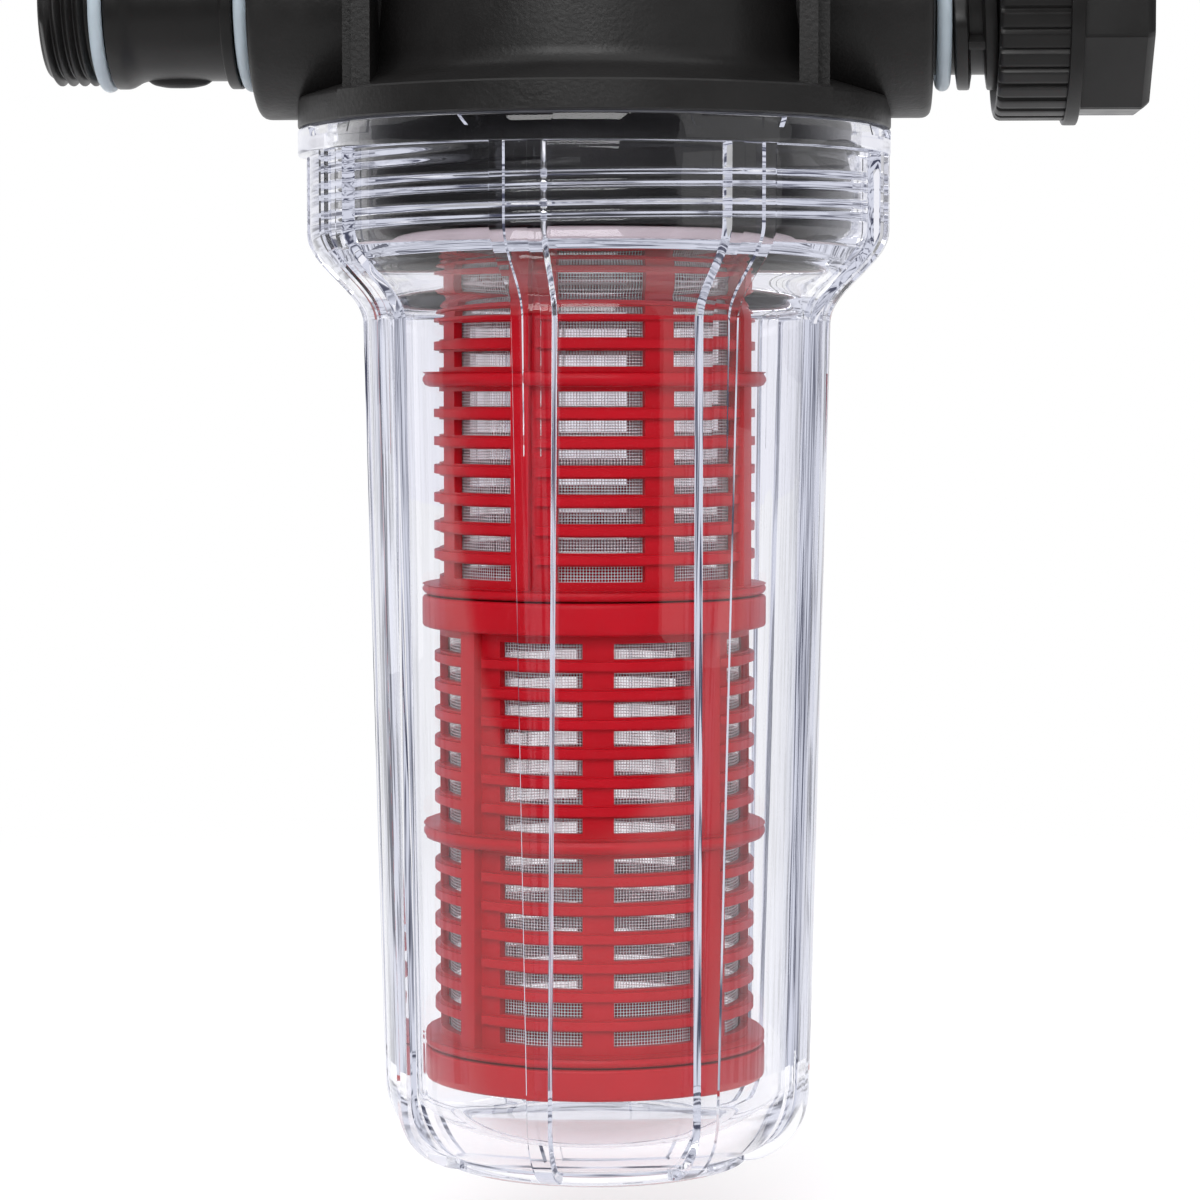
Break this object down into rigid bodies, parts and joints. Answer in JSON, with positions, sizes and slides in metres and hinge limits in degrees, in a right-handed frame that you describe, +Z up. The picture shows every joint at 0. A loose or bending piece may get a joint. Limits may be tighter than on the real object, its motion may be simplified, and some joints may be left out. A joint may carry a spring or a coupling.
{
  "type": "garden pump prefilter",
  "caption": "In-line suction prefilter for a garden pump: black head with inlet and outlet fittings, clear ribbed screw-on bowl and a red slotted cartridge with fine mesh.",
  "frame": {"origin": "centre of the foot ring, on the surface that the bowl stands on", "axes": "+Z up along the bowl's axis, +X along the pipe line from inlet to outlet, -Y towards the front of the head"},
  "size_m": [0.222, 0.1208, 0.272],
  "materials": {
    "black_plastic": "fine grained, low sheen",
    "red_plastic": "smooth moulded",
    "clear_plastic": "clear, polished",
    "mesh_fabric": "fine woven mesh",
    "clear_rubber": "translucent, satin",
    "black_rubber": "matt"
  },
  "bodies": {
    "housing": {"head_body": "black_plastic", "upper_cage": "red_plastic", "lower_cage": "red_plastic", "end_cap": "red_plastic", "upper_mesh": "mesh_fabric", "lower_mesh": "mesh_fabric", "cartridge_seal": "black_rubber", "inlet_nipple": "black_plastic", "inlet_hose_seal": "clear_rubber", "inlet_head_seal": "clear_rubber", "outlet_nipple": "black_plastic", "outlet_head_seal": "clear_rubber"},
    "bowl_seal_ring": {"bowl_seal": "black_rubber"},
    "screw_bowl": {"bowl": "clear_plastic"},
    "gasket_disc": {"union_gasket": "black_rubber"},
    "nut": {"union_nut": "black_plastic"}
  },
  "joints": [
    {"name": "bowl_drop", "type": "slide", "parent": "housing", "child": "bowl_seal_ring", "axis": [0, 0, -1], "range_m": [0, 0.02]},
    {"name": "bowl_turn", "type": "hinge", "parent": "bowl_seal_ring", "child": "screw_bowl", "pos_m": [0, 0, 0.1], "axis": [0, 0, -1], "range_deg": [0, 1260]},
    {"name": "nut_travel", "type": "slide", "parent": "housing", "child": "gasket_disc", "axis": [1, 0, 0], "range_m": [0, 0.0178]},
    {"name": "nut_turn", "type": "hinge", "parent": "gasket_disc", "child": "nut", "pos_m": [0.1, 0, 0.236], "axis": [1, 0, 0], "range_deg": [0, 1080]}
  ],
  "couplings": [
    {"joint": "bowl_drop", "follows": "bowl_turn", "m_per_rad": 0.00090718},
    {"joint": "nut_travel", "follows": "nut_turn", "m_per_rad": 0.00093901}
  ]
}
